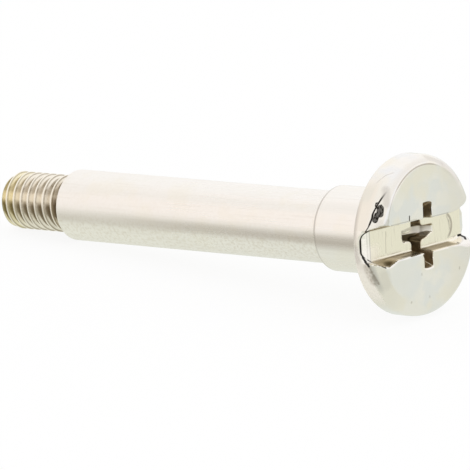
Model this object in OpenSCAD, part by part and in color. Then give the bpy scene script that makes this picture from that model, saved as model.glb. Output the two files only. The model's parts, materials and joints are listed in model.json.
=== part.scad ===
// Shoulder bolt: one headed and turned steel piece. A low flat head carries a screwdriver slot crossed
// with a cross recess. Behind it come a short collar, a long plain shoulder and a threaded end.
// The bolt lies as it comes to rest, on the rim of its head and the end of its thread, head towards +X.

/* [Head] */
// Diameter of the head
head_d = 13.3; // [11:0.1:18]
// Thickness of the head
head_t = 2.4; // [2:0.1:4]
// Rounding of the edge round the face
head_edge_r = 1.4; // [0.3:0.05:1.5]
// Bevel of the edge on the collar's side
head_rear_bevel = 0.1; // [0.05:0.05:0.4]

/* [Slot] */
// Width of the slot below its broken edges
slot_w = 2.6; // [1.2:0.1:3.2]
// Depth of the slot below the face
slot_depth = 1.3; // [0.6:0.1:1.6]
// Slope of the slot's walls in degrees
slot_draft = 4; // [1:1:10]
// Broken edge along the mouth of the slot
slot_mouth_bevel = 0.12; // [0.05:0.01:0.3]
// Radius at which the slot's floor falls away at the rim
slot_lip_r = 1; // [0.5:0.1:3]
// Length over which the floor falls away
slot_lip_run = 0.8; // [0.4:0.1:1.5]
// Turn of the slot from level, in degrees, as the bolt lies
slot_turn = 2; // [-20:1:20]

/* [Cross recess] */
// Distance across the wings at the face
cross_span = 5.5; // [3.5:0.1:6.5]
// Width of a wing
cross_wing_w = 1.1; // [0.6:0.05:1.4]
// Rounding of the corners between the wings
cross_corner_r = 0.4; // [0.1:0.05:0.6]
// Slope of the wings' ends from the axis, in degrees
cross_taper = 26.5; // [15:0.5:30]
// Depth of the sloping ends below the face
cross_wall_depth = 2.3; // [1.8:0.1:2.6]
// Slope of the bottom from square, in degrees
cross_bottom_slope = 28; // [10:1:40]

/* [Collar] */
// Diameter of the collar
collar_d = 7.1; // [6.6:0.1:9]
// Length of the collar under the head
collar_len = 6.8; // [3:0.1:12]
// Bevel of the collar's edge
collar_bevel = 0.12; // [0.05:0.01:0.4]
// Fillet between the collar and the head
collar_fillet = 0.3; // [0.1:0.05:0.6]

/* [Shoulder] */
// Diameter of the plain shoulder
shoulder_d = 6; // [5.4:0.1:6.5]
// Length of the plain shoulder
shoulder_len = 28.8; // [10:0.1:60]
// Bevel of the shoulder's end
shoulder_bevel = 0.25; // [0.1:0.05:0.5]

/* [Thread] */
// Outside diameter of the thread
thread_d = 4.9; // [3:0.1:5.2]
// Length of the threaded end
thread_len = 7; // [4:0.1:20]
// Bevel of the thread's tip
thread_bevel = 0.5; // [0.2:0.05:0.8]

/* [Hidden] */
$fn = 96;

// How far cutters run past the surface that they open
reach = 1;

head_r = head_d / 2;
collar_r = collar_d / 2;
shoulder_r = shoulder_d / 2;
thread_r = thread_d / 2;
cross_r = cross_span / 2;

// Places along the axis, from the face of the head
collar_end = head_t + collar_len;
shoulder_end = collar_end + shoulder_len;
bolt_len = shoulder_end + thread_len;

// A bevel stops at the smaller diameter beside it
collar_edge = min(collar_bevel, collar_r - shoulder_r);
shoulder_edge = min(shoulder_bevel, shoulder_r - thread_r);

// Radius and depth where the cross recess turns from its sloping ends to its bottom
cross_bottom_r = cross_r - cross_wall_depth * tan(cross_taper);
cross_depth = cross_wall_depth + cross_bottom_r * tan(cross_bottom_slope);

// The bolt rests on the rear edge of its head and on the edge of its tip
head_rest = head_t - head_rear_bevel;
tip_rest = bolt_len - thread_bevel;
lie_tilt = atan2(head_r - thread_r, tip_rest - head_rest);
axis_height = head_r * cos(lie_tilt) + head_rest * sin(lie_tilt);

// Ends of the lying bolt along X, measured from the centre of the face
face_end = (head_r - head_edge_r) * sin(lie_tilt) + head_edge_r * (1 - cos(lie_tilt));
tip_end = -bolt_len * cos(lie_tilt) - (thread_r - thread_bevel) * sin(lie_tilt);
middle_x = (face_end + tip_end) / 2;

// Half section of the head: radius across, distance from the face upwards
module head_section() {
    square([head_r - head_edge_r, head_t]);
    translate([head_r - head_edge_r, head_edge_r]) circle(head_edge_r);
    polygon([
        [0, head_edge_r],
        [head_r, head_edge_r],
        [head_r, head_t - head_rear_bevel],
        [head_r - head_rear_bevel, head_t],
        [0, head_t]
    ]);
}

// Half section of the collar, the shoulder and the threaded end, at the thread's outside diameter
module shank_section() {
    polygon([
        [0, head_edge_r],
        [collar_r, head_edge_r],
        [collar_r, collar_end - collar_edge],
        [collar_r - collar_edge, collar_end],
        [shoulder_r, collar_end],
        [shoulder_r, shoulder_end - shoulder_edge],
        [shoulder_r - shoulder_edge, shoulder_end],
        [thread_r, shoulder_end],
        [thread_r, bolt_len - thread_bevel],
        [thread_r - thread_bevel, bolt_len],
        [0, bolt_len]
    ]);
    translate([collar_r, head_t]) inner_corner(collar_fillet);
}

// What is left in a square corner beside a round of radius r
module inner_corner(r) {
    difference() {
        square(r);
        translate([r, r]) circle(r);
    }
}

// Walls of the slot, seen along it: broken edges at the mouth, then a slight draft
module slot_walls() {
    deepest = slot_depth + slot_lip_r;
    half_w = slot_w / 2;
    deep_half_w = half_w - (deepest - slot_mouth_bevel) * tan(slot_draft);
    mouth_half_w = half_w + slot_mouth_bevel + reach;
    polygon([
        [-mouth_half_w, -reach],
        [-half_w, slot_mouth_bevel],
        [-deep_half_w, deepest],
        [deep_half_w, deepest],
        [half_w, slot_mouth_bevel],
        [mouth_half_w, -reach]
    ]);
}

// Floor of the slot, seen across it: level, then falling away towards the rim at both ends
module slot_floor() {
    half_len = head_r + reach;
    translate([-half_len, -reach]) square([2 * half_len, reach + slot_depth]);
    for (side = [0, 1]) {
        mirror([side, 0]) translate([head_r - slot_lip_run, slot_depth]) difference() {
            square([slot_lip_run + reach, slot_lip_r]);
            translate([0, slot_lip_r]) circle(slot_lip_r);
        }
    }
}

module slot_cut() {
    intersection() {
        rotate([90, 0, 0]) linear_extrude(2 * (head_r + reach), center = true) slot_walls();
        rotate([90, 0, 90]) linear_extrude(2 * head_r, center = true) slot_floor();
    }
}

// Two crossed wings with rounded inner corners, seen along the axis
module cross_wings() {
    square([cross_span + 2 * reach, cross_wing_w], center = true);
    square([cross_wing_w, cross_span + 2 * reach], center = true);
    for (turn = [0:90:270]) {
        rotate(turn) translate([cross_wing_w / 2, cross_wing_w / 2]) inner_corner(cross_corner_r);
    }
}

// The wings taper inwards as they go deeper and end in a shallow cone
module cross_cut() {
    intersection() {
        translate([0, 0, -reach]) linear_extrude(reach + cross_depth) cross_wings();
        rotate_extrude() polygon([
            [0, -reach],
            [cross_r + reach * tan(cross_taper), -reach],
            [cross_bottom_r, cross_wall_depth],
            [0, cross_depth]
        ]);
    }
}

// From the axis upright, face down, to the lying bolt
module lie_down() {
    translate([-middle_x, 0, axis_height]) rotate([0, -90 - lie_tilt, 0]) children();
}

module shoulder_bolt() {
    color("#d9d5ca") lie_down() difference() {
        rotate_extrude() {
            head_section();
            shank_section();
        }
        rotate([0, 0, slot_turn]) {
            slot_cut();
            cross_cut();
        }
    }
}

shoulder_bolt();
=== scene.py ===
import json
import math

import bpy
import numpy as np
from mathutils import Matrix, Vector


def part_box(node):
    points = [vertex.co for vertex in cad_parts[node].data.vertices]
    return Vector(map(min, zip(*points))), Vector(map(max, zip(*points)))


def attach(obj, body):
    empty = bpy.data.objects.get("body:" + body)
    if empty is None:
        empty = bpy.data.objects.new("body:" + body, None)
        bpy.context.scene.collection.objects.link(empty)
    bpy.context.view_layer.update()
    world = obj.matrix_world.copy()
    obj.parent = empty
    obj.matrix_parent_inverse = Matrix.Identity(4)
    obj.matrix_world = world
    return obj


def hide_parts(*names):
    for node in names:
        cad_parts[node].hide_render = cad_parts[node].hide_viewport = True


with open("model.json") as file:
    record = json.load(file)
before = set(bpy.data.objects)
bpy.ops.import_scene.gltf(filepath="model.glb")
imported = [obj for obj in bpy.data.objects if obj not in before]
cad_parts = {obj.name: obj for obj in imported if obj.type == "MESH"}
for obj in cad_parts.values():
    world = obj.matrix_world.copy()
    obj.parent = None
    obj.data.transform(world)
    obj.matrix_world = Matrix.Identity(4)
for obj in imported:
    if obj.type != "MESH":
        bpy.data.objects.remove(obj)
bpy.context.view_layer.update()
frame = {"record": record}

# Where the bolt lies
# One piece of plated steel, lying on the rim of its head and the end of its thread. Its own axis runs from
# the face of the head to the tip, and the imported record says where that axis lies.

MM = 0.001
mounts = {mount["name"]: mount for mount in frame["record"]["mounts"]}
head_thick = 2.4

axis = Vector(mounts["shoulder"]["axis"]).normalized()
side = Vector((0, 1, 0))
lift = side.cross(axis)
on_axis = Vector(mounts["shoulder"]["pos_m"])
under_head = (Vector(mounts["head_seat"]["pos_m"]) - on_axis).dot(axis)
face_centre = on_axis + axis * (under_head - head_thick * MM)


def depth_of(mount, end):
    """Distance in mm from the face to the start, -1, or the end, 1, of a round mount's wall."""
    middle = (Vector(mount["pos_m"]) - face_centre).dot(axis) / MM
    return middle + end * mount["dims"]["length_mm"] / 2


def to_row(points):
    """Points of the bolt, as lift, side and depth from the face in mm, in the shared frame in metres."""
    return np.array(face_centre) + points @ np.array([lift, side, axis]) * MM


# Head
# A low cheese head, cold formed on the blank: flat face, rounded rim, a screwdriver slot whose floor falls
# away at both ends, and a cross recess punched through the slot. It ends in a stub of the collar.

head_r = (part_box("shoulder_bolt")[1].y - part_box("shoulder_bolt")[0].y) / 2 / MM
collar_r = mounts["collar"]["dims"]["r_mm"]
collar_fillet = depth_of(mounts["collar"], -1) - head_thick
stub_end = 3.3

face_set = 0.04
rim_round = 1.4
rim_tight = 0.5
rim_tight_turn = math.radians(145)
rim_tight_spread = (0.3, 1)
rim_rise = 0.2
rim_rise_turn = math.radians(8)
rim_rise_from = 0.4
rim_rise_inset = 0.08
face_edge_soft = 0.05
rear_round = 0.11

slot_turn = math.radians(2)
slot_half_w = 1.38
slot_depth = 1.3
slot_draft = math.radians(4)
slot_floor_round = 0.12
slot_mouth_round = 0.06
slot_end_round = 0.7
slot_end_run = (4, 6.2)
slot_lip_round = 0.35
slot_lip_in = (0.1, 0.6)
slot_lip_run = 0.8
slot_lip_r = 1
slot_lip_limit = 0.98

# Wear of the slot's mouth: how far each mark goes, and the run along the slot over which it grows
slot_flare = 0.12
slot_flare_run = (3.2, 5.6)
slot_worn_flare = 0.31
slot_worn_run = (3.7, 4.9)
slot_worn_end = (4.9, 6.4)
slot_worn_loss = 0.85
slot_upper_flare = 0.1
slot_upper_run = (0, 1)
slot_upper_worn = 0.12
slot_upper_worn_run = (4.2, 5.4)
slot_corner_flare = 0.35
slot_corner_run = (3.4, 5.8)
slot_burr = 0.3
slot_burr_run = (4.6, 6)

cross_r = 2.74
cross_shift = (0.08, 0.14)
cross_turn = math.radians(3.5)
cross_wing_half_w = 0.56
cross_wing_draft = math.radians(1.5)
cross_corner_r = 0.4
cross_taper = math.radians(26.5)
cross_wall_depth = 2.3
cross_bottom_slope = math.radians(28)
cross_edge_round = 0.06

# Uneven wings of the recess: how far each differs, and the run along the wing, or in depth, where it starts
cross_left_step = 0.36
cross_left_step_run = (0.35, 0.75)
cross_left_short = 0.25
cross_left_short_run = (1, 1.7)
cross_left_bulge = 0.12
cross_left_bulge_depth = (0.6, 1.2)
cross_low_long = 0.07
cross_low_run = (1.5, 2.2)
cross_right_taper = 0.4
cross_right_run = (0.9, 2.1)

head_cell = 0.085


def rounded_max(a, b, r):
    """The larger of two distances, with the edge where the surfaces meet rounded to radius r."""
    return np.minimum(np.maximum(a, b), -r) + np.hypot(np.maximum(a + r, 0), np.maximum(b + r, 0))


def rounded_min(a, b, r):
    """The smaller of two distances, with the corner where the surfaces meet filled to radius r."""
    return -rounded_max(-a, -b, r)


def smooth_step(value, low, high):
    """0 below low, 1 above high and an even S between them."""
    t = np.clip((value - low) / (high - low), 0, 1)
    return t * t * (3 - 2 * t)


def along_slot(x, y):
    """Distance along the slot from the bolt's axis, with the side positive."""
    return y * math.cos(slot_turn) - x * math.sin(slot_turn)


def across_slot(x, y):
    """Distance across the slot from the bolt's axis, with the lift positive."""
    return x * math.cos(slot_turn) + y * math.sin(slot_turn)


def blank_distance(x, y, s):
    """Distance to the head and the collar's stub before the slot and the recess are struck."""
    out = np.hypot(x, y)
    upward = (x * math.cos(rim_rise_turn) + y * math.sin(rim_rise_turn)) / np.maximum(out, 1)
    downward = (x * math.cos(rim_tight_turn) + y * math.sin(rim_tight_turn)) / np.maximum(out, 1)
    rise = rim_rise * np.clip((upward - rim_rise_from) / (1 - rim_rise_from), 0, 1) ** 2
    rim = out - head_r + rise * rim_rise_inset
    face = face_set - s
    round_here = rim_round - rim_tight * smooth_step(downward, *rim_tight_spread)
    front = rounded_max(rounded_max(face - rise, rim, round_here), face, face_edge_soft)
    head = rounded_max(front, s - head_thick, rear_round)
    collar = np.maximum(out - collar_r, head_thick / 2 - s)
    return rounded_min(head, collar, collar_fillet)


def slot_wall_distance(x, y, s):
    """Distance to the nearer wall of the slot, negative between the walls."""
    along, across = along_slot(x, y), across_slot(x, y)
    flare = slot_flare * smooth_step(np.abs(along), *slot_flare_run)
    worn = smooth_step(-along, *slot_worn_run) * (1 - slot_worn_loss * smooth_step(-along, *slot_worn_end))
    flare += slot_worn_flare * worn * (across < 0)
    flare += slot_upper_flare * smooth_step(-along, *slot_upper_run) * (across > 0)
    flare += slot_upper_worn * smooth_step(-along, *slot_upper_worn_run) * (across > 0)
    flare += slot_corner_flare * smooth_step(along, *slot_corner_run) * (across > 0)
    burr = slot_burr * smooth_step(along, *slot_burr_run) * (across < 0)
    half_w = slot_half_w - burr + flare * np.clip(1 - s / slot_depth, 0, 1)
    return (np.abs(across) - half_w + s * math.tan(slot_draft)) * math.cos(slot_draft)


def slot_floor_distance(x, y, s):
    """Height above the slot's floor, which falls away in an arc at both ends."""
    run = np.clip(np.abs(along_slot(x, y)) - head_r + slot_lip_run, 0, slot_lip_r * slot_lip_limit)
    return slot_depth + slot_lip_r - np.sqrt(slot_lip_r**2 - run**2) - s


def cross_distance(x, y, s):
    """Distance to the cross recess, negative inside it: four drafted wings with tapered ends over a cone."""
    x, y = x - cross_shift[0], y - cross_shift[1]
    above = x * math.cos(cross_turn) + y * math.sin(cross_turn)
    right = y * math.cos(cross_turn) - x * math.sin(cross_turn)
    narrowing = s * math.tan(cross_wing_draft) - cross_wing_half_w
    level = np.abs(above) + narrowing
    level += cross_left_step * smooth_step(-right, *cross_left_step_run) * (above > 0)
    level += cross_right_taper * smooth_step(right, *cross_right_run) * (above < 0)
    upright = np.abs(right) + narrowing
    upright -= cross_left_bulge * smooth_step(s, *cross_left_bulge_depth) * (right < 0)
    wings = rounded_min(level, upright, cross_corner_r)
    out = np.hypot(x, y)
    reach = cross_r - cross_left_short * smooth_step(-right, *cross_left_short_run)
    reach += cross_low_long * smooth_step(-above, *cross_low_run)
    ends = (out - reach + s * math.tan(cross_taper)) * math.cos(cross_taper)
    bottom_r = cross_r - cross_wall_depth * math.tan(cross_taper)
    cone = s - cross_wall_depth - (bottom_r - out) * math.tan(cross_bottom_slope)
    walls = rounded_max(wings, ends, cross_edge_round)
    return rounded_max(walls, cone * math.cos(cross_bottom_slope), cross_edge_round)


def head_distance(x, y, s):
    """Distance to the head with its slot and its recess, negative in the metal."""
    wall = slot_wall_distance(x, y, s)
    slot = rounded_max(wall, -slot_floor_distance(x, y, s), slot_floor_round)
    mouth = slot_mouth_round + slot_end_round * smooth_step(along_slot(x, y), *slot_end_run)
    mouth += (slot_lip_round - mouth) * smooth_step(-wall, *slot_lip_in)
    slotted = rounded_max(blank_distance(x, y, s), -slot, mouth)
    return rounded_max(slotted, -cross_distance(x, y, s), cross_edge_round)


def surface_net(distance, steps):
    """Points and quads on the zero surface of a distance, one point in each crossed cell of a grid."""
    value = distance(*np.meshgrid(*steps, indexing="ij"))
    cells = [len(step) - 1 for step in steps]
    total = np.zeros((*cells, 3))
    count = np.zeros(cells)
    edges = []
    for way in range(3):
        first = np.take(value, range(cells[way]), axis=way)
        second = np.take(value, range(1, cells[way] + 1), axis=way)
        crossed = np.argwhere((first < 0) != (second < 0))
        a, b = first[tuple(crossed.T)], second[tuple(crossed.T)]
        point = np.stack([steps[k][crossed[:, k]] for k in range(3)], axis=1)
        gap = steps[way][crossed[:, way] + 1] - steps[way][crossed[:, way]]
        point[:, way] += gap * a / (a - b)
        others = [(way + 1) % 3, (way + 2) % 3]
        beside = []
        for back in ((1, 1), (0, 1), (0, 0), (1, 0)):
            cell = crossed.copy()
            cell[:, others] -= back
            good = ((cell >= 0) & (cell < cells)).all(axis=1)
            np.add.at(total, tuple(cell[good].T), point[good])
            np.add.at(count, tuple(cell[good].T), 1)
            beside.append((cell, good))
        edges.append((beside, a < 0))
    used = count > 0
    number = np.cumsum(used).reshape(used.shape) - 1
    points = total[used] / count[used][:, None]
    quads = []
    for beside, inside_first in edges:
        whole = np.all([good for _, good in beside], axis=0)
        quad = np.stack([number[tuple(cell[whole].T)] for cell, _ in beside], axis=1)
        inside = inside_first[whole]
        quads += [quad[inside], quad[~inside][:, ::-1]]
    return points, np.concatenate(quads), np.argwhere(used)


def settle(points, distance, rounds=5, step=1e-4, least=0.25):
    """Moves points onto the zero surface of a distance. No slope counts as less than the least, squared."""
    for _ in range(rounds):
        ahead = [distance(*(points + shift).T) for shift in np.eye(3) * step]
        behind = [distance(*(points - shift).T) for shift in np.eye(3) * step]
        slope = (np.stack(ahead, axis=1) - np.stack(behind, axis=1)) / (2 * step)
        length = np.maximum((slope**2).sum(axis=1), least)
        points = points - slope * (distance(*points.T) / length)[:, None]
    return points


margin = 3 * head_cell
wide = np.arange(-head_r - margin, head_r + margin, head_cell)
deep = np.linspace(-margin, stub_end, int((stub_end + margin) / head_cell) + 1)
head_points, head_quads, head_cells = surface_net(head_distance, (wide, wide, deep))
head_points = settle(head_points, head_distance)

# The last layer of points becomes a level ring on the collar, where the turned shank takes over
last = head_cells[:, 2] == len(deep) - 2
head_turn = np.arctan2(head_points[:, 1], head_points[:, 0])
last_turn = head_turn[last]
head_points[last] = np.stack(
    [collar_r * np.cos(last_turn), collar_r * np.sin(last_turn), np.full(last.sum(), stub_end)], axis=1
)
stub_ring = np.flatnonzero(last)[np.argsort(last_turn)]

# Collar and shoulder
# Turned on the same blank: a thicker collar under the head, a step, and the long plain shoulder that the
# moving part turns on. The edges are broken, and the shoulder ends in a square face round the thread.

shoulder_r = mounts["shoulder"]["dims"]["r_mm"]
thread_r = mounts["thread"]["dims"]["r_mm"]
collar_end = depth_of(mounts["shoulder"], -1)
shoulder_end = depth_of(mounts["thread"], -1)
collar_round = 0.12
step_fillet = 0.06
shoulder_round = 0.27
around = 180
round_parts = 5
edge_guard = 0.06

angles = np.arange(around) / around * 2 * math.pi - math.pi


def rounded_outline(corners):
    """Radius and depth of the rings along an outline with rounded corners, and one beside each round."""
    rings = []
    for before, corner, after in zip(corners, corners[1:], corners[2:]):
        here = np.array(corner[:2])
        to = np.array(before[:2]) - here
        on = np.array(after[:2]) - here
        to, on = to / np.linalg.norm(to), on / np.linalg.norm(on)
        r = corner[2]
        centre = here + (to + on) * r
        rings.append(here + to * (r + edge_guard))
        for k in range(round_parts + 1):
            t = k / round_parts * math.pi / 2
            rings.append(centre - on * r * math.cos(t) - to * r * math.sin(t))
        rings.append(here + on * (r + edge_guard))
    return rings


shank_rings = rounded_outline(
    [
        (collar_r, stub_end),
        (collar_r, collar_end, collar_round),
        (shoulder_r, collar_end, step_fillet),
        (shoulder_r, shoulder_end, shoulder_round),
        (0, shoulder_end),
    ]
)
shank_points = np.concatenate(
    [np.stack([r * np.cos(angles), r * np.sin(angles), np.full(around, s)], axis=1) for r, s in shank_rings]
)
shank_number = np.arange(len(shank_points)).reshape(-1, around)


def band(low, high):
    """Quads between two rings with as many points."""
    return [
        (low[k], low[(k + 1) % len(low)], high[(k + 1) % len(low)], high[k]) for k in range(len(low))
    ]


def zip_rings(low, low_turn, high, high_turn):
    """Triangles between two rings whose points lie at different angles, both in rising order."""
    faces = []
    i = j = 0
    while i < len(low) or j < len(high):
        next_low = low_turn[i] if i < len(low) else math.inf
        next_high = high_turn[j] if j < len(high) else math.inf
        if next_low <= next_high:
            faces.append((low[i - 1], low[i], high[j - 1]))
            i += 1
        else:
            faces.append((low[i - 1], high[j], high[j - 1]))
            j += 1
    return faces


# Thread
# Rolled on the end of the shoulder: a right-hand M5 thread with a bevelled tip. Each row of points follows
# one line of the helix, so crests and roots stay sharp, and the last turn runs out against the shoulder.

thread_pitch = 0.8
thread_depth = 0.49
thread_lead = 0.29
crest_half = 0.06
root_half = 0.125
flank_parts = 4
runout_len = 0.55
runout_share = 0.4
runout_lag = 0.28
runout_reach = 2.9
runout_ease = 2.3
tip_bevel = 0.5
tip_end = depth_of(mounts["thread"], 1) + tip_bevel


def runout_shift(s):
    """How much nearer the shoulder the helix lies, at a depth from the face, than at an even pitch."""
    return runout_lag * smooth_step(shoulder_end + runout_reach - s, 0, runout_ease)


def thread_radius(from_crest, s):
    """Radius of the thread at a share of a pitch from the nearest crest and a depth from the face."""
    groove = np.clip((np.abs(from_crest) - crest_half) / (0.5 - root_half - crest_half), 0, 1)
    runout = 1 - runout_share * (1 - smooth_step(s - shoulder_end, 0, runout_len))
    bevel = thread_r - np.maximum(s - (tip_end - tip_bevel), 0)
    return np.minimum(thread_r - thread_depth * groove * runout, bevel)


# Rows of points in one pitch: from a crest down one flank, across the root and up to the next crest
flank = np.linspace(crest_half, 0.5 - root_half, flank_parts + 1)
pitch_rows = np.concatenate([flank, 1 - flank[::-1]])
rows_per_turn = len(pitch_rows)
spare_turns = 2
turns = math.ceil((tip_end - shoulder_end) / thread_pitch) + spare_turns
row = (np.arange(turns)[:, None] - spare_turns + pitch_rows).ravel()
row_count = len(row)
turn_share = np.arange(around)[:, None] / around
even_depth = shoulder_end + thread_pitch * (row[None, :] + turn_share + thread_lead)

# The shift of the run-out changes with the depth that it moves, so the depth is worked out in rounds
shift_rounds = 20
free_depth = even_depth
for _ in range(shift_rounds):
    free_depth = even_depth - runout_shift(free_depth)
thread_s = np.clip(free_depth, shoulder_end, tip_end)
even_run = (thread_s + runout_shift(thread_s) - shoulder_end) / thread_pitch
crest_run = even_run - turn_share - thread_lead
thread_out = thread_radius(crest_run - np.round(crest_run), thread_s)
thread_turn = angles[:, None]
thread_points = np.stack(
    [thread_out * np.cos(thread_turn), thread_out * np.sin(thread_turn), thread_s], axis=2
).reshape(-1, 3)
thread_number = np.arange(around * row_count).reshape(around, row_count)

# Points that the ends hold back share one point for each angle
low_last = (free_depth <= shoulder_end).sum(axis=1) - 1
high_first = (free_depth < tip_end).sum(axis=1)
for k in range(around):
    thread_number[k, : low_last[k]] = thread_number[k, low_last[k]]
    thread_number[k, high_first[k] :] = thread_number[k, high_first[k]]
thread_low_ring = thread_number[np.arange(around), low_last]
thread_high_ring = thread_number[np.arange(around), high_first]

thread_faces = []
for k in range(around):
    ahead = thread_number[(k + 1) % around]
    shift = rows_per_turn if k == around - 1 else 0
    for j in range(row_count - 1 - shift):
        loop = [thread_number[k, j], ahead[j + shift], ahead[j + 1 + shift], thread_number[k, j + 1]]
        loop = [point for n, point in enumerate(loop) if point != loop[n - 1]]
        if len(set(loop)) > 2:
            thread_faces.append(tuple(loop))

tip_centre = np.array([[0, 0, tip_end]])

# The whole bolt
# Head, shank and thread are one piece of steel, so they are joined to one skin: each meets the next at a
# ring of points, and a flat disc closes the tip.

head_count = len(head_points)
shank_number = shank_number + head_count
thread_first = head_count + len(shank_points)
tip_number = thread_first + len(thread_points)
points = np.concatenate([head_points, shank_points, thread_points, tip_centre])

faces = [tuple(quad) for quad in head_quads]
faces += zip_rings(stub_ring, head_turn[stub_ring], shank_number[0], angles)
for low, high in zip(shank_number, shank_number[1:]):
    faces += band(low, high)
faces += band(shank_number[-1], thread_low_ring + thread_first)
faces += [tuple(point + thread_first for point in loop) for loop in thread_faces]
tip_ring = thread_high_ring + thread_first
faces += [(tip_ring[k], tip_ring[(k + 1) % around], tip_number) for k in range(around)]

kept, renumber = np.unique(np.concatenate([np.array(face) for face in faces]), return_inverse=True)
sizes = [len(face) for face in faces]
faces = [tuple(loop.tolist()) for loop in np.split(renumber, np.cumsum(sizes)[:-1])]

sharp_edge = math.radians(40)
bolt_mesh = bpy.data.meshes.new("plated_bolt")
bolt_mesh.from_pydata(to_row(points[kept]).tolist(), [], faces)
bolt_mesh.validate()
bolt_mesh.polygons.foreach_set("use_smooth", [True] * len(bolt_mesh.polygons))
bolt_mesh.set_sharp_from_angle(angle=sharp_edge)
bolt = bpy.data.objects.new("plated_bolt", bolt_mesh)
bpy.context.collection.objects.link(bolt)

# Shares of each point that lie in the cross recess, on a wall of the slot and on the slot's floor
x, y, s = points[kept].T
wall, floor = slot_wall_distance(x, y, s), slot_floor_distance(x, y, s)
slot_run = along_slot(x, y)
in_front = s < stub_end - 0.1
in_recess = smooth_step(-cross_distance(x, y, s), -0.1, 0) * smooth_step(s, 0.05, 0.3) * in_front
on_wall = smooth_step(-np.abs(wall), -0.12, -0.02) * smooth_step(s, 0.1, 0.35)
on_wall *= smooth_step(floor, -0.03, 0.03)
on_wall *= smooth_step(slot_run, -5.85, -5.7) * (1 - smooth_step(slot_run, 4.2, 4.8))
on_wall *= 1 - smooth_step(slot_run, 2.5, 3.5) * (across_slot(x, y) > 0)
on_floor = smooth_step(-wall, 0, 0.1) * smooth_step(-np.abs(floor), -0.12, -0.04) * in_front
on_floor *= smooth_step(head_r - slot_lip_run - np.abs(slot_run), -0.1, 0.05)
struck = bolt_mesh.attributes.new("struck", "FLOAT_VECTOR", "POINT")
struck.data.foreach_set("vector", np.stack([in_recess, on_wall, on_floor], axis=1).ravel())

# Plating
# A satin nickel plate over the whole bolt, put on after the turning and finely streaked along the shank. It
# is stained brown in the slot and the recess, which painted shade darkens further; the thread's flanks carry
# painted bands of reflection and shade, and the rim of the head a painted dark reflection in a line and a
# patch.


class Wire:
    """One output in a node tree. Arithmetic on it adds Math nodes, and node() adds any other kind."""

    def __init__(self, tree, socket=None):
        self.tree = tree
        self.socket = socket

    def node(self, kind, settings=None, sockets=None, out=0):
        """Adds a node, sets its settings and then its sockets, and gives the output that is asked for."""
        made = self.tree.nodes.new(kind)
        for name, value in (settings or {}).items():
            setattr(made, name, value)
        for name, value in (sockets or {}).items():
            if isinstance(value, Wire):
                self.tree.links.new(value.socket, made.inputs[name])
            else:
                made.inputs[name].default_value = value
        return Wire(self.tree, made.outputs[out] if made.outputs else None)

    def feed(self, socket):
        """Links this output to a socket of a node that is already there."""
        self.tree.links.new(self.socket, socket)

    def math(self, operation, *values):
        """Adds a Math node."""
        return self.node("ShaderNodeMath", {"operation": operation}, dict(enumerate(values)))

    def __add__(self, other):
        return self.math("ADD", self, other)

    def __sub__(self, other):
        return self.math("SUBTRACT", self, other)

    def __rsub__(self, other):
        return self.math("SUBTRACT", other, self)

    def __mul__(self, other):
        return self.math("MULTIPLY", self, other)

    def __abs__(self):
        return self.math("ABSOLUTE", self)

    __radd__ = __add__
    __rmul__ = __mul__

    def rise(self, low, high):
        """0 below low and 1 above high, or the other way round where low is the larger."""
        limits = {"Value": self, "From Min": low, "From Max": high}
        return self.node("ShaderNodeMapRange", {"interpolation_type": "SMOOTHSTEP"}, limits)

    def near(self, middle, half, soft):
        """1 within half of a middle value, falling to 0 over the soft distance beyond."""
        return abs(self - middle).rise(half + soft, half)

    def blend(self, first, second):
        """Mixes two colours, with this value as the share of the second."""
        sockets = {"Factor": self, 6: first, 7: second}
        return self.node("ShaderNodeMix", {"data_type": "RGBA"}, sockets, out=2)


def noise(place, scale, detail=3, stretch=(1, 1, 1), offset=(0, 0, 0)):
    """Noise over the bolt, 0 to 1, with features of about 1 / scale mm, longer where stretch is small."""
    moved = {"Vector": place, "Location": offset, "Scale": stretch}
    where = place.node("ShaderNodeMapping", sockets=moved)
    return place.node("ShaderNodeTexNoise", sockets={"Vector": where, "Scale": scale, "Detail": detail})


def split(vector):
    """The three parts of a vector."""
    outputs = vector.node("ShaderNodeSeparateXYZ", sockets={0: vector}).socket.node.outputs
    return [Wire(vector.tree, output) for output in outputs]


nickel = (0.95, 0.915, 0.87, 1)
nickel_cool = (0.89, 0.88, 0.87, 1)
nickel_cream = (0.94, 0.89, 0.8, 1)
nickel_dull = (0.86, 0.815, 0.76, 1)
nickel_highlight = (1, 0.965, 0.9, 1)
rim_cream = (0.88, 0.835, 0.75, 1)
mottle_tan = (0.64, 0.55, 0.42, 1)
floor_cream = (0.97, 0.91, 0.77, 1)
wall_brown = (0.36, 0.3, 0.2, 1)
wall_tan = (0.5, 0.42, 0.28, 1)
wall_shadow_dark = (0.16, 0.12, 0.06, 1)
recess_tan = (0.6, 0.51, 0.37, 1)
recess_brown = (0.54, 0.44, 0.3, 1)
recess_shade_dark = (0.4, 0.325, 0.215, 1)
recess_shade_black = (0.085, 0.065, 0.035, 1)
recess_highlight = (1, 0.97, 0.9, 1)
recess_grey = (0.68, 0.64, 0.57, 1)
flank_pale = (0.97, 0.91, 0.8, 1)
flank_shade_brown = (0.34, 0.28, 0.2, 1)
gold_pale = (0.98, 0.9, 0.67, 1)
gold_shade_brown = (0.36, 0.3, 0.16, 1)
tip_tan = (0.8, 0.74, 0.6, 1)
reflection_and_flaw_black = (0.014, 0.011, 0.008, 1)
line_brown = (0.5, 0.45, 0.38, 1)
line_grey = (0.62, 0.58, 0.53, 1)

plate = bpy.data.materials.new("nickel_plate")
plate.use_nodes = True
shader = plate.node_tree.nodes["Principled BSDF"]

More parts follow.
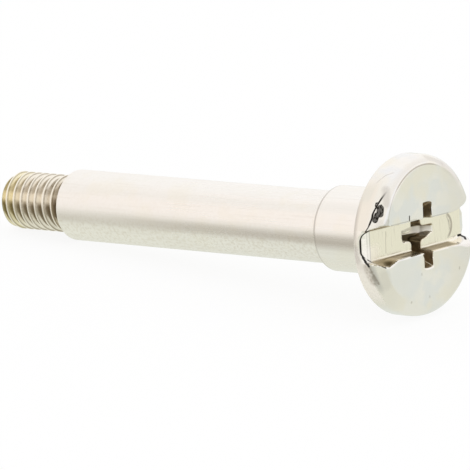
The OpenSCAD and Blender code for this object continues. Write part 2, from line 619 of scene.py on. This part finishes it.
plating = Wire(plate.node_tree)
turned = Matrix((lift, side, axis)).transposed().to_euler()
spot = plating.node("ShaderNodeTexCoord", out="Object")
place = plating.node(
    "ShaderNodeMapping",
    {"vector_type": "TEXTURE"},
    {"Vector": spot, "Location": face_centre, "Rotation": turned, "Scale": (MM, MM, MM)},
)
up, over, depth = split(place)
out_r = plating.math("SQRT", up * up + over * over)
along = over * math.cos(slot_turn) - up * math.sin(slot_turn)
across = up * math.cos(slot_turn) + over * math.sin(slot_turn)
recess_share, wall_share, floor_share = split(
    plating.node("ShaderNodeAttribute", {"attribute_name": "struck"}, out="Vector")
)


def stroke(first, second, half, soft):
    """A soft-edged line between two places on the bolt, given as lift, side and depth in mm."""
    run = Vector(second) - Vector(first)
    gone = place.node("ShaderNodeVectorMath", {"operation": "SUBTRACT"}, {0: place, 1: first})
    pull = {0: gone, 1: run / run.length_squared}
    share = place.node("ShaderNodeVectorMath", {"operation": "DOT_PRODUCT"}, pull, out="Value")
    share = place.node("ShaderNodeClamp", sockets={"Value": share})
    gone_along = place.node("ShaderNodeVectorMath", {"operation": "SCALE"}, {0: run, "Scale": share})
    ends = {0: gone, 1: gone_along}
    gap = place.node("ShaderNodeVectorMath", {"operation": "DISTANCE"}, ends, out="Value")
    return gap.rise(half + soft, half)


on_head = depth.rise(head_thick + 0.3, head_thick)
on_face = depth.rise(0.16, 0.08)
on_rim = on_head * (1 - on_face)
on_thread = depth.rise(shoulder_end - 0.02, shoulder_end + 0.02)
on_shank = (1 - on_head) * (1 - on_thread)
streak = noise(place, 1.1, 4, (1, 1, 0.05))
fine_streak = noise(place, 5, 3, (1, 1, 0.03), (7, 3, 0))
cloud = noise(place, 0.5, 2, offset=(3, 1, 0))
warm_cloud = noise(place, 0.4, 2, offset=(11, 5, 2))

# Bare plating: cool and cream clouds on the head, duller at the right of the face and on parts of the rim,
# and a shank with fine streaks and tan mottling underneath; a painted reflection brightens the shank
# underneath towards the thread, and a painted dark reflection lies in a band round the collar
tint = (cloud.rise(0.42, 0.56) * on_head).blend(nickel, nickel_cool)
tint = (warm_cloud.rise(0.45, 0.66) * (0.5 + on_head * 0.5)).blend(tint, nickel_cream)
tint = (over.rise(0, 6) * on_face * 0.75).blend(tint, nickel_dull)
tint = (on_rim * depth.rise(0.55, 0.15) * up.rise(0, 2) * 0.8).blend(tint, nickel_dull)
tint = (on_rim * over.rise(-3, -4.8) * 0.9).blend(tint, rim_cream)
tint = (on_rim * over.rise(1.5, 3.5) * up.rise(0, 1) * 0.8).blend(tint, nickel_dull)
tint = (on_face * stroke((-2.6, -3.6, 0.05), (-3.2, -2.6, 0.05), 0.8, 1.2) * 0.8).blend(tint, nickel_cool)
# Painted reflection: the shank brighter underneath and towards the thread
tint = (on_shank * depth.rise(collar_end, shoulder_end) * up.rise(1, -1)).blend(tint, nickel_highlight)
# Painted dark reflection: a duller band round the collar a little below the axis
collar_reflection_band = depth.rise(collar_end, collar_end - 0.1) * up.near(-0.2, 0.25, 0.4)
tint = (on_shank * collar_reflection_band).blend(tint, nickel_dull)
tint = (on_shank * fine_streak.rise(0.5, 0.75) * 0.35).blend(tint, nickel_dull)
mottle = noise(place, 4, 2, offset=(1, 6, 3)).rise(0.4, 0.7) * depth.rise(collar_end - 0.1, collar_end)
tint = (on_shank * mottle * (0.06 + up.rise(0.2, -1.2) * 0.22)).blend(tint, mottle_tan)

# Slot: cream floor with scratches and an arc on it, a painted highlight on the lip at the left, brown walls
# darkened in places by painted shade, a painted shadow at the corner by the lower wing of the recess and
# thin lines of painted shade along the upper edge
scratch = noise(place, 6, 2, (0.1, 1, 1), (2, 9, 4)).rise(0.58, 0.75)
arc_up, arc_over = up + 0.05, over - 3.64
arc_r = plating.math("SQRT", arc_up * arc_up + arc_over * arc_over)
in_slot = abs(across).rise(1.35, 1.3) * depth.rise(1.15, 1.25) * depth.rise(2.2, 2)
on_lip = along.rise(-5.7, -5.9) * along.rise(-6.6, -6.45)
tint = floor_share.blend(tint, floor_cream)
# Painted highlight: the lip at the slot's left end in bright nickel
tint = (in_slot * on_lip).blend(tint, nickel_highlight)
tint = (in_slot * scratch * (1 - on_lip) * 0.2).blend(tint, line_brown)
tint = (in_slot * arc_r.near(1.1, 0.05, 0.12) * over.rise(4, 4.4) * 0.9).blend(tint, line_brown)
tint = (stroke((0.98, -3.75, 1.3), (-0.73, -3.9, 1.3), 0.02, 0.06) * 0.5).blend(tint, line_brown)
tint = (in_slot * along.near(-5.86, 0.03, 0.05) * 0.8).blend(tint, line_grey)
tint = (in_slot * along.near(-6.15, 0.02, 0.05) * 0.4).blend(tint, line_grey)
wall_streak = noise(place, 3.5, 2, (1, 0.15, 1), (4, 4, 1)).rise(0.35, 0.65)
wall_tint = along.rise(-3, -4.2).blend(wall_brown, wall_tan)
wall_tint = (wall_streak * 0.3).blend(wall_tint, recess_tan)
# Painted shade: darker places along the slot's walls
for wall_shade_start, wall_shade_end, wall_shade_soft, wall_shade_share in (
    ((-1.64, -4.98, 0.12), (-1.46, -4.65, 0.42), 0.42, 0.9),
    ((-1.28, -2.5, 0.3), (-1.3, 0.2, 0.5), 0.4, 0.85),
    ((-1.35, 0.4, 0.5), (-1.3, 0.75, 1.25), 0.4, 0.85),
):
    wall_shade = stroke(wall_shade_start, wall_shade_end, 0.2, wall_shade_soft) * wall_shade_share
    wall_tint = wall_shade.blend(wall_tint, wall_shadow_dark)
wall_tint = along.rise(4, 4.5).blend(wall_tint, floor_cream)
tint = wall_share.blend(tint, wall_tint)
# Painted shadow at the corner by the lower wing of the recess
tint = stroke((-1.5, -0.62, 0.05), (-1.78, -0.48, 0.05), 0.06, 0.05).blend(tint, wall_shadow_dark)
# Painted shade: thin lines along the slot's upper edge
tint = (stroke((1.43, 0.78, 0.06), (1.34, 2.89, 0.05), 0.02, 0.05) * 0.5).blend(tint, line_brown)
tint = (stroke((1.61, -1.2, 0.05), (1.73, -4.4, 0.05), 0.02, 0.05) * 0.5).blend(tint, line_brown)

# Cross recess: brown, paler above the slot, with painted shade that darkens it with depth to black at the
# bottom, and painted highlights on a step and in two lines
# Painted shade: darker with depth and on the lower wing, black at the bottom
deep_shade = depth.rise(1.0, 1.7)
# Painted highlights: a pale step across the recess and two pale lines on the wings' edges
step_low = up - depth.rise(1.9, 2.5) * 0.22
step_highlight = step_low.rise(-0.48, -0.38) * up.rise(0.37, 0.29) * depth.rise(1.25, 1.35)
for pale_start, pale_end, pale_half, pale_share in (
    ((2.38, 0.74, 0.74), (2.57, 0.8, 0.31), 0.015, 0.5),
    ((-2.3, 0.47, 0.82), (-2.58, 0.52, 0.21), 0.02, 0.8),
):
    highlight_line = stroke(pale_start, pale_end, pale_half, 0.04) * pale_share
    step_highlight = plating.math("MAXIMUM", step_highlight, highlight_line)
recess = deep_shade.blend(up.rise(-1, 1.4).blend(recess_brown, recess_tan), recess_shade_dark)
recess = up.rise(-2.35, -2.5).blend(recess, recess_shade_dark)
recess = depth.rise(2.2, 2.6).blend(recess, recess_shade_black)
step_highlight_tint = depth.rise(1.7, 2.4).blend(recess_highlight, recess_grey)
step_highlight_tint = depth.rise(2.5, 2.75).blend(step_highlight_tint, floor_cream)
tint = recess_share.blend(tint, step_highlight.blend(recess, step_highlight_tint))

# Thread: cream crests, and flanks in painted bands of reflection and shade, pale and brown by the way they
# face, darkest in painted shade by the shoulder, and golden by the tip, whose flat end is plain tan
band_turn = math.radians(15)
height = up * math.cos(band_turn) + over * math.sin(band_turn)
spin = plating.math("ARCTAN2", over, up) * (0.5 / math.pi)
even = depth - shoulder_end
even = even + even.rise(runout_reach, runout_reach - runout_ease) * runout_lag
crest_share = plating.math("FRACT", even * (1 / thread_pitch) - spin - thread_lead) - 0.5
groove = out_r.rise(thread_r - 0.005, thread_r - 0.05) * on_thread
inner = crest_share.rise(-0.16, -0.3)
low_shade_band = height.rise(-0.1, -0.6) * height.rise(-1.6, -1.0)
outer = abs(height).rise(1.0, 1.4)
# Painted reflection and shade on the flanks: banded by height round the axis, with dark and pale lines
# beside the crests, darker by the shoulder and at the tip
shade = 0.3 + (noise(place, 8, 2) - 0.5) * 0.4
shade = shade + height.near(1.2, 0.25, 0.35) * 0.08 - height.near(0.24, 0.2, 0.3) * 0.28
shade = shade + depth.rise(shoulder_end + 3, shoulder_end + 1) * 0.2
shade = shade + low_shade_band * (0.3 + inner * 0.4) + height.rise(-1.1, -1.5) * 0.1
shade = shade + crest_share.near(-0.13, 0.015, 0.04) * height.near(0.4, 0.5, 0.3) * 0.5
shade = shade + outer * crest_share.near(-0.1, 0.015, 0.035) * 0.3
shade = shade - outer * crest_share.near(-0.2, 0.03, 0.035) * 0.4
shade = shade + outer * crest_share.near(-0.31, 0.04, 0.05) * (0.35 + height.rise(0, -1) * 0.2)
shade = shade + depth.rise(tip_end - tip_bevel, tip_end - 0.1) * (0.35 + height.rise(0.1, -0.3) * 0.5)
shade = shade + depth.rise(shoulder_end + 1.3, shoulder_end + 0.3) * height.near(-0.5, 0.6, 0.6) * 0.8
shade = shade + depth.rise(shoulder_end + 0.8, shoulder_end + 0.4) * height.near(0.7, 0.5, 0.5) * 0.05
gold = depth.rise(shoulder_end + 4.4, shoulder_end + 6)
flank_painted_shade = shade.blend(gold.blend(flank_pale, gold_pale), gold.blend(flank_shade_brown, gold_shade_brown))
tint = on_thread.blend(tint, flank_pale)
tint = groove.blend(tint, flank_painted_shade)
tint = depth.rise(tip_end - 0.05, tip_end - 0.02).blend(tint, tip_tan)

# Edges: painted shade as brown and grey lines round the face, the head's back and the collar's end
face_edge_shade = out_r.near(4.91 + up * 0.165, 0.02, 0.06) * on_face * over.rise(2.5, 1)
tint = (face_edge_shade * (up.rise(1.5, 2) * 0.4 + up.rise(4.2, 4.8) * 0.5)).blend(tint, line_brown)
# Painted shade along the back edge of the head
rear_edge_shade = depth.rise(head_thick - 0.5, head_thick - 0.14) * out_r.rise(6.2, 6.4) * on_head
rear_shade_share = up.rise(4.8, 2.4) * (up.rise(0.2, 1.2) * 0.6 + up.rise(-0.9, -0.4) * 0.25)
tint = (rear_edge_shade * rear_shade_share).blend(tint, line_grey)
# Painted shade at the collar's end, where it steps down to the shoulder
collar_edge_shade = depth.rise(collar_end - 0.3, collar_end - 0.14) * out_r.rise(shoulder_r + 0.2, collar_r - 0.15)
collar_edge_shade = collar_edge_shade * depth.rise(collar_end + 0.1, collar_end + 0.05)
tint = (collar_edge_shade * (0.55 + up.near(1.6, 1.2, 1.2) * 0.45)).blend(tint, line_grey)

# Dark marks: a painted dark reflection in a line down the rim to the slot's end and in a patch beside it,
# painted shadow at both ends of the slot, a tick on the face, brown smears and pits, some painted dark
# reflection on the rim, and grey washes, on the rim's left painted dark reflection
# Painted dark reflection: a thin black line down the rim to the slot's end
dark_line_depth = 1.72 - up.rise(0.75, 2.15) * 0.71 - up.rise(-0.2, -1.1) * 0.43
dark_line_depth = dark_line_depth - plating.math("MAXIMUM", up - 2.06, 0) * 0.243 - up.near(2.1, 0.4, 0.5) * 0.1
dark_line_half = 0.05 - up.rise(2.5, 3.5) * 0.015 - up.near(1.45, 0.5, 0.2) * 0.025
dark_reflection_line = (depth - dark_line_depth).near(0, dark_line_half, 0.05) * over.rise(-4, -4.4) * out_r.rise(5.95, 6.05)
dark_reflection_and_flaw = dark_reflection_line * up.rise(-0.75, -0.6) * up.rise(4.6, 3.9)
dark_mark_soft = 0.05
for dark_mark_halves, dark_mark_line in (
    # Foot of the painted dark reflection line
    (
        (0.07, 0.09, 0.07),
        ((-0.59, -6.51, 1.59), (-0.97, -6.4, 1.43), (-1.12, -6.5, 1.15), (-1.3, -6.47, 1.07)),
    ),
    # Tick on the face
    (
        (0.035,),
        ((1.7, -2.12, face_set), (2.03, -2.09, face_set)),
    ),
    # Painted shadow at the slot's right end
    (
        (0.08, 0.1, 0.07),
        ((-1.18, 5.49, 1.28), (-1.19, 5.77, 1.25), (-1.31, 5.67, 0.76), (-1.42, 5.45, 0.49)),
    ),
    # Upper edge of the patch of painted dark reflection
    (
        (0.03, 0.03, 0.04),
        ((3.73, -5.17, 0.6), (3.71, -5.31, 0.77), (3.51, -5.43, 0.75), (3.35, -5.45, 0.64)),
    ),
    # Thin line of painted shadow from the dark line's foot round the slot's left end to its lower edge
    (
        (0.015, 0.015, 0.02),
        ((-0.57, -6.52, 1.62), (-0.88, -6.15, 1.34), (-1.07, -5.89, 1.25), (-1.3, -5.9, 0.46)),
    ),
    (
        (0.02, 0.02),
        ((-1.3, -5.9, 0.46), (-1.44, -5.7, 0.22), (-1.58, -5.46, 0.11)),
    ),
):
    for dark_mark_start, dark_mark_end, dark_mark_half in zip(dark_mark_line, dark_mark_line[1:], dark_mark_halves):
        dark_reflection_and_flaw = plating.math("MAXIMUM", dark_reflection_and_flaw, stroke(dark_mark_start, dark_mark_end, dark_mark_half, dark_mark_soft))
# Painted dark reflection: a mottled dark patch beside the dark line, in the strokes below
blotch = 0.86 + noise(place, 6, 2, offset=(5, 2, 1)).rise(0.54, 0.44) * 0.14
for patch_start, patch_end, patch_half in (
    ((3.28, -5.24, 0.42), (2.87, -5.4, 0.38), 0.27),
    ((2.8, -5.62, 0.52), (2.42, -5.86, 0.56), 0.2),
    ((3.52, -5.11, 0.41), (3.5, -5.11, 0.41), 0.05),
):
    dark_reflection_and_flaw = plating.math("MAXIMUM", dark_reflection_and_flaw, stroke(patch_start, patch_end, patch_half, 0.06) * blotch)
brown_grain = noise(place, 5, 3).rise(0.3, 0.65)
for brown_start, brown_end, brown_half, brown_soft, brown_share in (
    # Rim below the dark line: painted dark reflection, with a grain
    ((-1.5, -6.42, 1.25), (-2.7, -5.98, 1.05), 0.15, 0.4, 0.9),
    ((-1.3, -6.47, 1.07), (-1.78, -6.31, 0.95), 0.05, 0.07, 1),
    ((-1.78, -6.31, 0.95), (-2.87, -5.77, 0.71), 0.05, 0.08, 1),
    # Top of the rim
    ((5.15, -4.2, 1.44), (5.62, -3.48, 1.06), 0.02, 0.08, 0.35),
    ((5.62, -3.48, 1.06), (5.76, -2.96, 0.68), 0.02, 0.08, 0.35),
    # Floor of the slot, inside the arc and beside the recess
    ((0.71, 4.19, 1.3), (0.25, 4.41, 1.3), 0.03, 0.1, 0.7),
    ((0.25, 4.41, 1.3), (-0.54, 4.58, 1.3), 0.05, 0.12, 0.7),
    ((0.1, -1.75, 1.3), (0.53, -1.67, 1.3), 0.06, 0.12, 0.7),
    ((0.53, -1.67, 1.3), (0.63, -0.62, 1.3), 0.06, 0.12, 0.8),
    # Pits on the face
    ((-3.51, 3.86, face_set), (-3.45, 3.86, face_set), 0.05, 0.1, 0.5),
    ((-3.05, -1.04, face_set), (-3.0, -1.04, face_set), 0.05, 0.1, 0.4),
    ((-5.06, -2.57, face_set), (-5.0, -2.57, face_set), 0.05, 0.1, 0.5),
    ((-5.05, -0.22, face_set), (-5.0, -0.22, face_set), 0.05, 0.1, 0.4),
):
    smear_and_reflection = stroke(brown_start, brown_end, brown_half, brown_soft) * (0.4 + brown_grain * 0.6)
    tint = (smear_and_reflection * brown_share).blend(tint, line_brown)
for wash_start, wash_end, wash_half, wash_soft, wash_share in (
    # Rim at the upper left and at the lower left, painted dark reflection, and at the top
    ((4.62, -4.29, 0.49), (3.56, -4.7, 0.2), 0.12, 0.4, 0.6),
    ((6.3, 1.1, 0.47), (5.53, 2.58, 0.17), 0.1, 0.4, 0.4),
    ((-2.2, -5.5, 0.3), (-3.1, -5.3, 0.4), 0.2, 0.5, 0.25),
    # Above the slot's left end
    ((1.85, -5.2, 0.15), (2.15, -4.85, 0.1), 0.1, 0.2, 0.5),
    ((1.9, -5.8, 0.4), (2.2, -5.5, 0.3), 0.1, 0.25, 0.3),
    # Back of the rim beside the slot, and the rim at the upper right
    ((0.1, -6.63, 2.15), (-0.9, -6.58, 2.1), 0.15, 0.25, 0.5),
    ((5.3, 2.9, 0.25), (3.9, 4.6, 0.25), 0.2, 0.4, 0.35),
):
    wash = stroke(wash_start, wash_end, wash_half, wash_soft) * wash_share
    tint = wash.blend(tint, line_grey)
# Near black over the painted dark reflections and shadows, and the tick on the face
tint = dark_reflection_and_flaw.blend(tint, reflection_and_flaw_black)
tint.feed(shader.inputs["Base Color"])

# Finish: matt low on the rim's left, smoother towards the head, rougher in the slot and the recess
matt_share = 0.7
matt_rim = on_rim * up.rise(0.6, -0.2) * over.rise(-4.2, -5.4) * depth.rise(0.9, 1.2)
(1 - matt_rim * matt_share).feed(shader.inputs["Metallic"])

satin = 0.32
rough = satin + streak.rise(0.35, 0.7) * 0.08 + (fine_streak - 0.5) * 0.06
rough = rough - depth.rise(shoulder_end, collar_end) * 0.11 - on_head * 0.09
rough = rough + (wall_share + recess_share) * 0.25
rough.feed(shader.inputs["Roughness"])

grain_height = 0.1 * MM
grain = {"Strength": 0.04, "Distance": grain_height, "Height": fine_streak}
plating.node("ShaderNodeBump", sockets=grain).feed(shader.inputs["Normal"])
bolt_mesh.materials.append(plate)

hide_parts("shoulder_bolt")
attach(bolt, "root")

# Table
# A plain white table. It is white to the camera apart from the soft shadow under the bolt, and what the
# metal shows of the surroundings comes from the light tent.

table_half = 1
table_glow = 0.88
white = (1, 1, 1, 1)

table_mesh = bpy.data.meshes.new("table")
table_corners = [(x * table_half, y * table_half, 0) for x, y in ((-1, -1), (1, -1), (1, 1), (-1, 1))]
table_mesh.from_pydata(table_corners, [], [(0, 1, 2, 3)])
table = bpy.data.objects.new("table", table_mesh)
bpy.context.collection.objects.link(table)
table.visible_glossy = False

paint = bpy.data.materials.new("white_paint")
paint.use_nodes = True
paint.node_tree.nodes.clear()
painting = Wire(paint.node_tree)
table_seen = painting.node("ShaderNodeLightPath", out="Is Camera Ray")
glow = painting.node("ShaderNodeEmission", sockets={"Color": white, "Strength": 1})
flat_white = painting.node("ShaderNodeBsdfDiffuse", sockets={"Color": white})
coat = painting.node("ShaderNodeMixShader", sockets={0: table_seen * table_glow, 1: flat_white, 2: glow})
painting.node("ShaderNodeOutputMaterial", sockets={"Surface": coat})
table_mesh.materials.append(paint)

# Light tent
# White cloth all round, which the metal shows: white overhead, warmer and in one spot greyer high on the
# left, a little grey below, and darker low on the left and low in front. The camera itself sees white.

world = bpy.data.worlds.new("tent")
bpy.context.scene.world = world
world.use_nodes = True
world.node_tree.nodes.clear()
lighting = Wire(world.node_tree)
way = lighting.node("ShaderNodeTexCoord", out="Generated")
rise_of_way = split(way)[2]


def towards(direction, radius, core):
    """1 within core degrees of a direction and 0 beyond a radius in degrees."""
    unit = Vector(direction).normalized()
    cosine = way.node("ShaderNodeVectorMath", {"operation": "DOT_PRODUCT"}, {0: way, 1: unit}, out="Value")
    return cosine.rise(math.cos(math.radians(radius)), math.cos(math.radians(core)))


cloth_below = (0.79, 0.815, 0.752, 1)
cloth_warm = (1, 0.96, 0.93, 1)
cloth_spot = (0.93, 0.92, 0.9, 1)
dark_left = (0.53, 0.51, 0.46, 1)
dark_front = (0.58, 0.6, 0.57, 1)

cloth = rise_of_way.rise(-0.12, 0.02).blend(cloth_below, white)
cloth = towards((-0.68, -0.6, 0.42), 50, 15).blend(cloth, cloth_warm)
cloth = towards((-0.71, -0.29, 0.64), 15, 3).blend(cloth, cloth_spot)
cloth = towards((-0.605, -0.68, -0.41), 20, 4).blend(cloth, dark_left)
cloth = towards((0.15, -0.68, -0.7), 32, 6).blend(cloth, dark_front)
cloth_seen = lighting.node("ShaderNodeLightPath", out="Is Camera Ray")
cloth = cloth_seen.blend(cloth, white)
light = lighting.node("ShaderNodeBackground", sockets={"Color": cloth, "Strength": 1})
lighting.node("ShaderNodeOutputWorld", sockets={"Surface": light})

# Camera
# The photograph's view: from the head's side and a little above, through a long lens that keeps the bolt's
# sides nearly parallel.

azimuth = math.radians(39.95)
elevation = math.radians(15)
aim = Vector((1.776, 0, 3.39)) * MM
aim_distance = 567.6 * MM
focal_mm = 521.7
sensor_mm = 36

level = Vector((math.sin(azimuth), -math.cos(azimuth), 0))
back = level * math.cos(elevation) + Vector((0, 0, math.sin(elevation)))
lens = bpy.data.cameras.new("camera")
lens.lens = focal_mm
lens.sensor_width = sensor_mm
lens.clip_start = 0.01
lens.clip_end = 10
camera = bpy.data.objects.new("camera", lens)
bpy.context.collection.objects.link(camera)
camera.location = aim + back * aim_distance
camera.rotation_mode = "QUATERNION"
camera.rotation_quaternion = (-back).to_track_quat("-Z", "Y")
bpy.context.scene.camera = camera
bpy.context.scene.view_settings.view_transform = "Standard"
